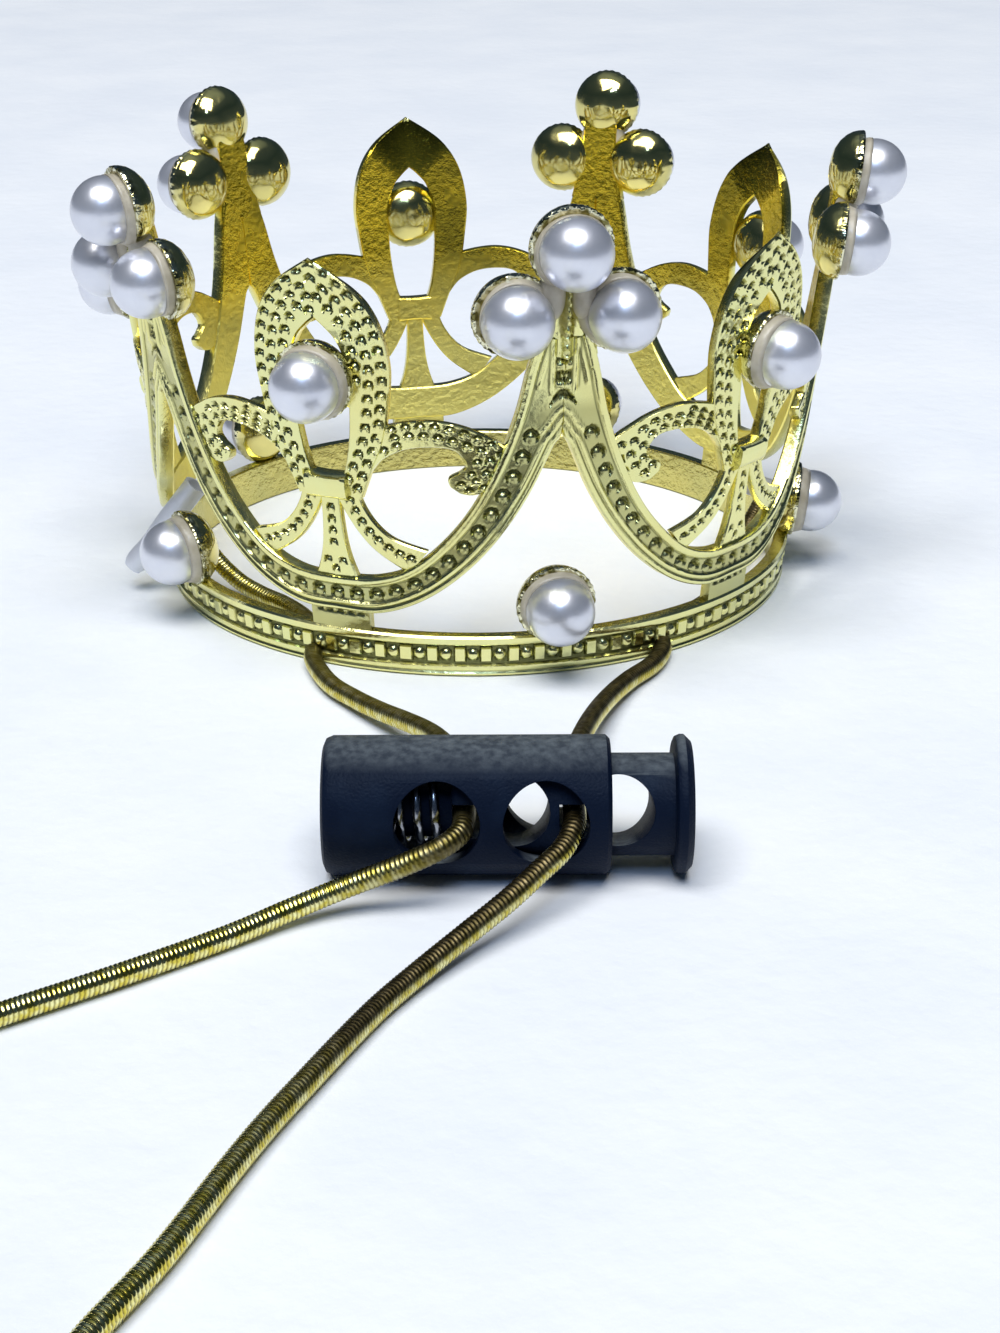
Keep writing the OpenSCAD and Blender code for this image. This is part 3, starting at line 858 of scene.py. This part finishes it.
# %% Petals, scrolls and rays
# Each: the first row's distance from the edge, the gap between rows, the pitch and the radius.
PETAL_PITS = (0.62, 1.12, 1.3, 0.47)
SCROLL_PITS = (0.6, 1.08, 1.25, 0.44)
TIP_THINS_FROM = 34.0


def plain(flat):
    return np.zeros(len(flat)), np.zeros(len(flat))


metal = Heap()
half_petal = stepped(PETAL_ROWS)
petal = np.concatenate([half_petal, half_petal[-2::-1] * MIRROR])[:, [2, 3, 0, 1]]
pits = rows_of_pits(petal[:, 2:], petal[:, :2], *PETAL_PITS)
strip(metal, petal, PETAL_TURNS, plain, pits, sunk=0.1, thin_from=TIP_THINS_FROM)
print("pits on a petal:", len(pits))

scroll = stepped(SCROLL_ROWS)
for rows in (scroll, swapped(scroll)):
    pits = rows_of_pits(rows[:, :2], rows[:, 2:], *SCROLL_PITS)
    strip(metal, rows, PETAL_TURNS, plain, pits, sunk=0.2)
print("pits on a scroll:", len(pits))

ray = stepped(SIDE_RAY_ROWS)
for rows in (ray, swapped(ray)):
    pits = pits_along((rows[:, :2] + rows[:, 2:]) / 2, 1.1, 0.45)
    strip(metal, rows, PETAL_TURNS, plain, pits, sunk=0.25)
pits = pits_along(np.array([[0, 16.2], [0, 11.4]]), 1.1, 0.42)
pits += [(-0.75, 10.4, 0.42), (0.75, 10.4, 0.42), (0, 9.6, 0.4)]
strip(metal, stepped(MIDDLE_RAY_ROWS), PETAL_TURNS, plain, pits, sunk=0.2)

# %% [markdown]
# A smooth knot ties the petal, the scrolls and the rays together. It swells out in front of them,
# and its profile from its lower edge to its upper one is a table too. A short foot with a row of
# pits joins each swag to the band, and is painted dark: painted shade of both.

# %% Knots and feet
KNOT_HALF = 1.9
KNOT_Z = (16.4, 18.7)
KNOT_SWELL = ([0, 0.12, 0.3, 0.7, 0.88, 1], [0.1, 0.45, 0.62, 0.7, 0.62, 0.2])
FOOT_HALF = 3
FOOT_Z = (BAND_H - 0.4, 6.3)
FOOT_PAINTED_SHADE = 0.4


def knot_relief(flat):
    v = (flat[:, 1] - KNOT_Z[0]) / (KNOT_Z[1] - KNOT_Z[0])
    return np.interp(v, *KNOT_SWELL), np.zeros(len(flat))


def shaded(flat):
    # The foot is painted evenly dark: painted shade of the swag and the band.
    return np.zeros(len(flat)), np.full(len(flat), FOOT_PAINTED_SHADE)


xs = np.linspace(-KNOT_HALF, KNOT_HALF, 22)
waist = 0.1 * (np.abs(xs) / KNOT_HALF) ** 2
knot = np.stack([xs, KNOT_Z[1] + waist, xs, KNOT_Z[0] - waist], 1)
strip(metal, knot, PETAL_TURNS, knot_relief)

xs = np.linspace(-FOOT_HALF, FOOT_HALF, 24)
foot = np.stack([xs, 0 * xs + FOOT_Z[1], xs, 0 * xs + FOOT_Z[0]], 1)
pits = pits_along(np.array([[-2.7, 5.3], [2.7, 5.3]]), 1.05, 0.42)
strip(metal, foot, PETAL_TURNS, shaded, pits, sunk=0.15)
petals = metal.make("casting_petals", CAST_GOLD)
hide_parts("casting")

# %% [markdown]
# The band is two rails with a sunk channel between them. Round beads in pits take turns with
# square blocks along the channel, eighty of each round the crown. It is one closed strip.

# %% Band
BAND_PITS = 80
BAND_MIDDLE = 2.08
RAILS = (
    [0, 0.12, 0.42, 0.54, 0.66, 0.95, 1.08, 1.2, 2.95, 3.06, 3.2, 3.7, 3.9],
    [0, 0.1, 0.12, -0.06, 0.05, 0.06, -0.05, -0.32, -0.32, -0.04, 0.08, 0.08, 0])
CHANNEL_DEPTH = 0.32
BAND_BEAD_R = 0.56
BLOCK_HALF = (0.21, 0.72)
RAIL_GROOVE = 0.54


def band_relief(flat):
    x, z = flat.T
    height = np.interp(z, *RAILS)
    channel = np.clip((-0.1 - height) / 0.2, 0, 1)
    pitch = 2 * math.pi * PATTERN_R / BAND_PITS
    phase = (x / pitch) % 1
    block = (np.abs(phase - 0.5) < BLOCK_HALF[0]) & (np.abs(z - BAND_MIDDLE) < BLOCK_HALF[1])
    r = np.hypot(np.minimum(phase, 1 - phase) * pitch, z - BAND_MIDDLE) / BAND_BEAD_R
    bead = np.sqrt(np.clip(1 - r ** 2, 0, 1))
    height = np.where(block, 0.0, height)
    height = np.where(r < 1, 0.42 * bead - CHANNEL_DEPTH, height)
    # The channel, the pits round the beads and the groove along the rail are painted dark: painted
    # shade.
    deep = np.where(block, 0.0, channel * 0.95)
    deep = np.where(r < 1, np.clip(0.9 - 1.6 * bead, 0, 1), deep)
    return height, np.maximum(deep, 0.7 * line_at(z, RAIL_GROOVE, 0.08))


metal = Heap()
count = int(2 * math.pi * PATTERN_R / CELL)
xs = np.arange(count) * 2 * math.pi * PATTERN_R / count
rows = np.stack([xs, 0 * xs + BAND_H, xs, 0 * xs], 1)
strip(metal, rows, [0], band_relief, closed=True)
band = metal.make("casting_band", CAST_GOLD)
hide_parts("casting")

# %% [markdown]
# Cups, pearls and glue are round, so each is turned from a profile, as on a lathe. A little
# seeded unevenness keeps them from looking drawn. They are made about the cup's own axis, which
# looks out of the wall, and so it leans down as much as the wall leans out.

# %% Turn round things
CUP_TILT = math.atan(LEAN)
# Each: the pearls' name, the place of its cup aside, out and up, and the turns that repeat it.
CUP_PLACES = [
    ("top_pearl", (0, 36.8, 38.8), COLUMN_TURNS), ("left_pearl", (-4.45, 35.4, 33.2), COLUMN_TURNS),
    ("right_pearl", (4.45, 35.4, 33.2), COLUMN_TURNS), ("petal_pearl", (0, 35.5, 27.1), PETAL_TURNS),
    ("band_pearl", (0, 32.6, 6.8), COLUMN_TURNS)]
CUPS = [(k, i, kind, cup, turn)
        for k, (kind, cup, turns) in enumerate(CUP_PLACES) for i, turn in enumerate(turns)]


def in_cup(points, cup, turn):
    """Points about a cup's own axis, which looks along +Z, put in their place on the crown."""
    a = math.pi / 2 + CUP_TILT
    c, s = math.cos(a), math.sin(a)
    x, y, z = np.asarray(points, float).T
    stood = np.stack([x + cup[0], c * y - s * z - cup[1], s * y + c * z + cup[2]], 1)
    return turned_points(stood, turn)


def lathe(profile, sides, wobble=0.0, seed=0):
    """A body turned from (radius, height) points. Wobble makes it a little less than round."""
    angle = np.arange(sides) * 2 * math.pi / sides
    phase = np.random.default_rng(seed).uniform(0, 2 * math.pi, 3)
    points = []
    for k, (r, z) in enumerate(profile):
        uneven = sum(np.sin((j + 2) * angle + phase[j] + 0.3 * k) for j in range(3)) / 3
        radius = r * (1 + wobble * uneven)
        points.append(np.stack([radius * np.cos(angle), radius * np.sin(angle), 0 * angle + z], 1))
    return np.concatenate(points), ring_faces(len(profile), sides)


def ball(radius, rings, first=-1.0, last=1.0):
    """The profile of a ball, from one height to another as shares of its radius."""
    tilts = np.linspace(math.asin(first), math.asin(last), rings)
    return [(max(radius * math.cos(t), 0.01), radius * math.sin(t)) for t in tilts]


print("cups round the crown:", len(CUPS))

# %% [markdown]
# A cup is a small spun bowl, soldered to the wall. Its profile goes up the outer side from the
# middle of its back to the rim, and then down into the hollow that holds the pearl. The rim is
# fluted, and the flutes fade out towards the back. The pearls are moulded beads, very nearly
# round, and each one is a piece of its own in the place of its solid.

# %% Cups and pearls
CUP_RIM = -1.4
CUP_OUTSIDE = [
    (0.02, -4.14), (0.9, -4.08), (1.7, -3.88), (2.4, -3.5), (2.95, -3.0), (3.3, -2.5), (3.47, -2.0),
    (3.52, CUP_RIM - 0.15), (3.46, CUP_RIM), (3.3, CUP_RIM + 0.05), (3.08, CUP_RIM)]
HOLLOW_R = 3.04
CUP_SIDES = 120
CUP_FLUTES = 30
FLUTE_DEPTH = 0.012
PEARL_R = 3.0

metal = Heap()
hollow = ball(HOLLOW_R, 5, -0.9, CUP_RIM / HOLLOW_R - 0.03)[::-1] + [(0.02, -3.0)]
for k, i, kind, cup, turn in CUPS:
    points, faces = lathe(CUP_OUTSIDE + hollow, CUP_SIDES, 0.006, seed=i)
    rim = fade(points[:, 2], -2.1, 0.5) * (np.hypot(*points[:, :2].T) > 3.0)
    swing = np.arctan2(points[:, 1], points[:, 0])
    points[:, :2] *= 1 + (FLUTE_DEPTH * rim * np.cos(CUP_FLUTES * swing))[:, None]
    metal.add(in_cup(points, cup, turn), faces, rim=rim)
cups = metal.make("casting_cups", CUP_GOLD)
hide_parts("casting")

for k, i, kind, cup, turn in CUPS:
    name = f"{kind}_{i + 1}"
    points, faces = lathe(ball(PEARL_R, 33), 48, 0.002, seed=10 * k + i)
    pearl = piece("dressed_" + name, in_cup(points, cup, turn), faces, PEARL_LACQUER,
                  sharp=NEVER_SHARP)
    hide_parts(name)

# %% [markdown]
# The pearls are held by glue that has come out round them. It is a thin collar between each pearl
# and the rim of its cup, shifted to the side where the glue ran. In each group of three pearls
# two lumps fill the corners between the top pearl and the others.

# %% Glue
# How far each skirt is shifted aside and down, and how far it reaches up the pearl.
GLUE_SHIFTS = {
    "top_pearl": (0, -0.35, 0.15), "left_pearl": (0.35, 0.0, 0.2), "right_pearl": (-0.35, 0.0, 0.2),
    "petal_pearl": (0, -0.15, 0.55), "band_pearl": (0, -0.1, 0.35)}
LUMP_SIZE = (1.15, 2.3, 1.25)
LUMP_AT = (1.35, -4.0, -2.2)


def glue_skirt(kind, seed):
    aside, lower, reach = GLUE_SHIFTS[kind]
    profile = [(2.6, -1.9), (3.2, -1.9), (3.15 + 0.3 * reach, -1.4), (3.05 + 0.2 * reach, -0.9),
               (3.0, 0.6 * reach - 0.7), (2.8, 0.6 * reach - 0.9)]
    ring, faces = lathe(profile, 40, 0.012, seed=seed)
    share = 1 - fade(ring[:, 2], -1.4, 0.7)
    ring[:, 0] += aside * share
    ring[:, 1] += lower * share
    return ring, faces


drops = Heap()
for k, i, kind, cup, turn in CUPS:
    ring, faces = glue_skirt(kind, 50 + 10 * k + i)
    drops.add(in_cup(ring, cup, turn), faces)
for turn in COLUMN_TURNS:
    for side in (-1, 1):
        lump, faces = lathe(ball(1.0, 14), 24, 0.03, seed=7 + side)
        lump = lump * LUMP_SIZE + (LUMP_AT[0] * side, LUMP_AT[1], LUMP_AT[2])
        drops.add(in_cup(lump, CUP_PLACES[0][1], turn), faces)
skirts = drops.make("glue_skirts", GLUE, sharp=NEVER_SHARP)

# %% [markdown]
# The lock's barrel and plunger are right as solids, so their own meshes are copied, and a bevel
# rounds the rims as a mould does.

# %% Barrel and plunger
LOCK_ROUND = 0.12
LOCK_EDGE = math.radians(35)


def bevelled(node, name, body):
    mesh = nodes[node].data.copy()
    mesh.name = name
    obj = bpy.data.objects.new(name, mesh)
    scene.collection.objects.link(obj)
    weld = obj.modifiers.new("weld", "WELD")
    weld.merge_threshold = 0.002 * MM
    bevel = obj.modifiers.new("bevel", "BEVEL")
    bevel.width = LOCK_ROUND * MM
    bevel.segments = 2
    bevel.limit_method = "ANGLE"
    bevel.angle_limit = LOCK_EDGE
    depsgraph = bpy.context.evaluated_depsgraph_get()
    final = bpy.data.meshes.new_from_object(obj.evaluated_get(depsgraph))
    obj.modifiers.clear()
    obj.data = final
    final.materials.clear()
    final.materials.append(LOCK_PLASTIC)
    final.shade_smooth()
    final.set_sharp_from_angle(angle=LOCK_EDGE)
    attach(obj, body)
    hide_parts(node)
    print(name, "faces:", len(final.polygons))
    return obj


barrel = bevelled("lock_barrel", "barrel", "crown")
plunger = bevelled("lock_plunger", "plunger", "plunger")

# %% [markdown]
# The spring is a coil of round wire in the barrel's blind end. In the real lock it is squeezed when
# the plunger is pressed. A round pin on the plunger keeps it straight. The pin is so short that it
# never meets the barrel's end.

# %% Spring and guide pin
LOCK_AT = (-10.8, -65.1, 5.1)
LOCK_ROLL = math.radians(-8)
SPRING_START = 1.7
SPRING_END = 9.1
COIL_TURNS = 5.2
COIL_R = 2.85
WIRE_R = 0.36
PIN_R = 2.3
PIN_START = 5.3
PIN_END = 9.35


def in_lock(points):
    """Points about the lock's own axis, with its closed end at the origin, put in their place."""
    x, y, z = np.asarray(points, float).T
    c, s = math.cos(LOCK_ROLL), math.sin(LOCK_ROLL)
    rolled_over = np.stack([z, c * y + s * x, s * y - c * x], 1)
    return turned_points(rolled_over + np.array(LOCK_AT), STRAP_TURN)


share = np.linspace(0, 1, 200)
angle = share * COIL_TURNS * 2 * math.pi
rise = SPRING_START + WIRE_R + share * (SPRING_END - SPRING_START - 2 * WIRE_R)
coil = in_lock(np.stack([COIL_R * np.cos(angle), COIL_R * np.sin(angle), rise], 1))
points, faces, _, _ = swept_tube(coil, lambda along, angle: WIRE_R + 0 * along * angle)
spring = piece("spring", points, faces, SPRING_STEEL, sharp=NEVER_SHARP)
start = in_lock([(0, 0, SPRING_START)])[0]
end = in_lock([(0, 0, SPRING_END)])[0]
tuple(end - start)
tuple(start * MM)
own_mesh(spring)
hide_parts("lock_spring")

points, faces = lathe([(PIN_R - 0.3, PIN_START), (PIN_R, PIN_START + 0.3), (PIN_R, PIN_END)], 32)
guide_pin = piece("guide_pin", in_lock(points), faces, LOCK_PLASTIC, "plunger")
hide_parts("lock_plunger")

# %% [markdown]
# A barb is a strip of thin steel rolled into a tube that doesn't quite close. The cord's end is
# pinched in it. Its section is a spiral, swept along the barb from its start toward a point.

# %% Barbs
BARB_LENGTH = 10.6
BARB_R = 1.2
SHEET = 0.22
ROLL_IN = 0.1
ROLL_SWING = 1.93 * math.pi
PINCH = 0.12
PINCH_AT = 3.2
PINCH_WIDE = 1.6
ROUNDED_END = 0.6


def make_barb(name, node, start, toward, open_at):
    start, toward = np.array(start, float), np.array(toward, float)
    way = (toward - start) / np.linalg.norm(toward - start)
    side = np.cross(way, (0, 0, 1.0))
    side /= np.linalg.norm(side)
    top = np.cross(side, way)
    swing = np.linspace(0, ROLL_SWING, 34)
    outer = BARB_R - ROLL_IN * swing / (2 * math.pi)
    radii = np.concatenate([outer, outer[::-1] - SHEET])
    swings = open_at + np.concatenate([swing, swing[::-1]])
    points = []
    for along in np.linspace(0, BARB_LENGTH, 24):
        squeeze = 1 - PINCH * line_at(along, PINCH_AT, PINCH_WIDE)
        edge = 0.25 * (1 - fade(along, 0, ROUNDED_END))
        ring = (radii - edge)[:, None] * (
            np.cos(swings)[:, None] * side + squeeze * np.sin(swings)[:, None] * top)
        points.append(start + along * way + ring)
    faces = ring_faces(len(points), len(radii))
    points = turned_points(np.concatenate(points), STRAP_TURN)
    barb = piece(name, points, faces, SHEET_STEEL)
    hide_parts(node)
    return barb


left_barb = make_barb("left_rolled_barb", "left_barb", (-33, -8.8, 2.4), (-26.4, -9.1, 10.8), -0.9)
right_barb = make_barb("right_rolled_barb", "right_barb", (33.4, 2.8, 4.4), (24.1, -0.2, 8.7), 2.0)

# %% [markdown]
# The strap is a free cord of a fixed length.

# %% [markdown]
# The floor is plain, pale and a little soft, like paper. A softbox hangs three metres off, above
# the camera, and a small bluish window stands lower.

# %% Floor and lamps
FLOOR_SIZE = 6
FLOOR_COOL = (0.85, 0.88, 0.92, 1)
FLOOR_PALE = (0.92, 0.94, 0.96, 1)

bpy.ops.mesh.primitive_grid_add(x_subdivisions=8, y_subdivisions=8, size=FLOOR_SIZE)
floor = bpy.context.object
floor.name = "floor"
PALE_FLOOR, shader, start = finish_of("pale_floor", Roughness=0.9)
soft = start.noise(30.0, 5.0, 0.6).between(0.35, 0.65)
feed(shader, Base_Color=soft.mixed(FLOOR_COOL, FLOOR_PALE))
feed(shader, Normal=start.bump(start.noise(400.0, 4.0), 0.4 * MM, 0.5))
floor.data.materials.append(PALE_FLOOR)


def area_light(name, place, size, power, shade):
    data = bpy.data.lights.new(name, "AREA")
    data.shape = "RECTANGLE"
    data.size, data.size_y = size
    data.energy = power
    data.color = shade
    light = bpy.data.objects.new(name, data)
    scene.collection.objects.link(light)
    light.location = place
    light.rotation_euler = (-Vector(place)).to_track_quat("-Z", "Y").to_euler()
    print(name, "in watts:", power)


area_light("softbox", (-0.45, -0.90, 2.85), (2.6, 1.6), 98.0, (1.0, 0.99, 0.97))
area_light("window", (-0.55, -1.75, 2.10), (0.5, 0.7), 13.0, (0.40, 0.60, 1.0))

# %% [markdown]
# The sky is dim and bluish, and lighter only straight overhead. Shiny things mirror it, so the
# cups are dark with small glints and the pearls have a grey belt. The ramp's stops go from the
# horizon, and all that lies below it, to the point overhead.

# %% Sky
OVERHEAD = tuple(Vector((0.02, 0.12, 1.0)).normalized())
SKY_STOPS = [
    (0.0, (0.05, 0.07, 0.11, 1)), (0.4, (0.02, 0.036, 0.06, 1)),
    (0.8, (0.04, 0.06, 0.10, 1)), (1.0, (0.24, 0.29, 0.36, 1))]

world = bpy.data.worlds.new("sky")
scene.world = world
world.use_nodes = True
backdrop = world.node_tree.nodes["Background"]
start = Wire(world.node_tree, None)
way = start.node("ShaderNodeTexCoord", out=0)
closeness = start.node("ShaderNodeVectorMath", {"operation": "DOT_PRODUCT"}, {0: way, 1: OVERHEAD}, 1)
shade = start.node("ShaderNodeValToRGB", {"stops": SKY_STOPS}, {0: closeness})
feed(backdrop, Color=shade)
backdrop.inputs["Strength"].default_value = 1.0
scene.view_settings.view_transform = "Standard"
print("stops of the sky:", len(SKY_STOPS))
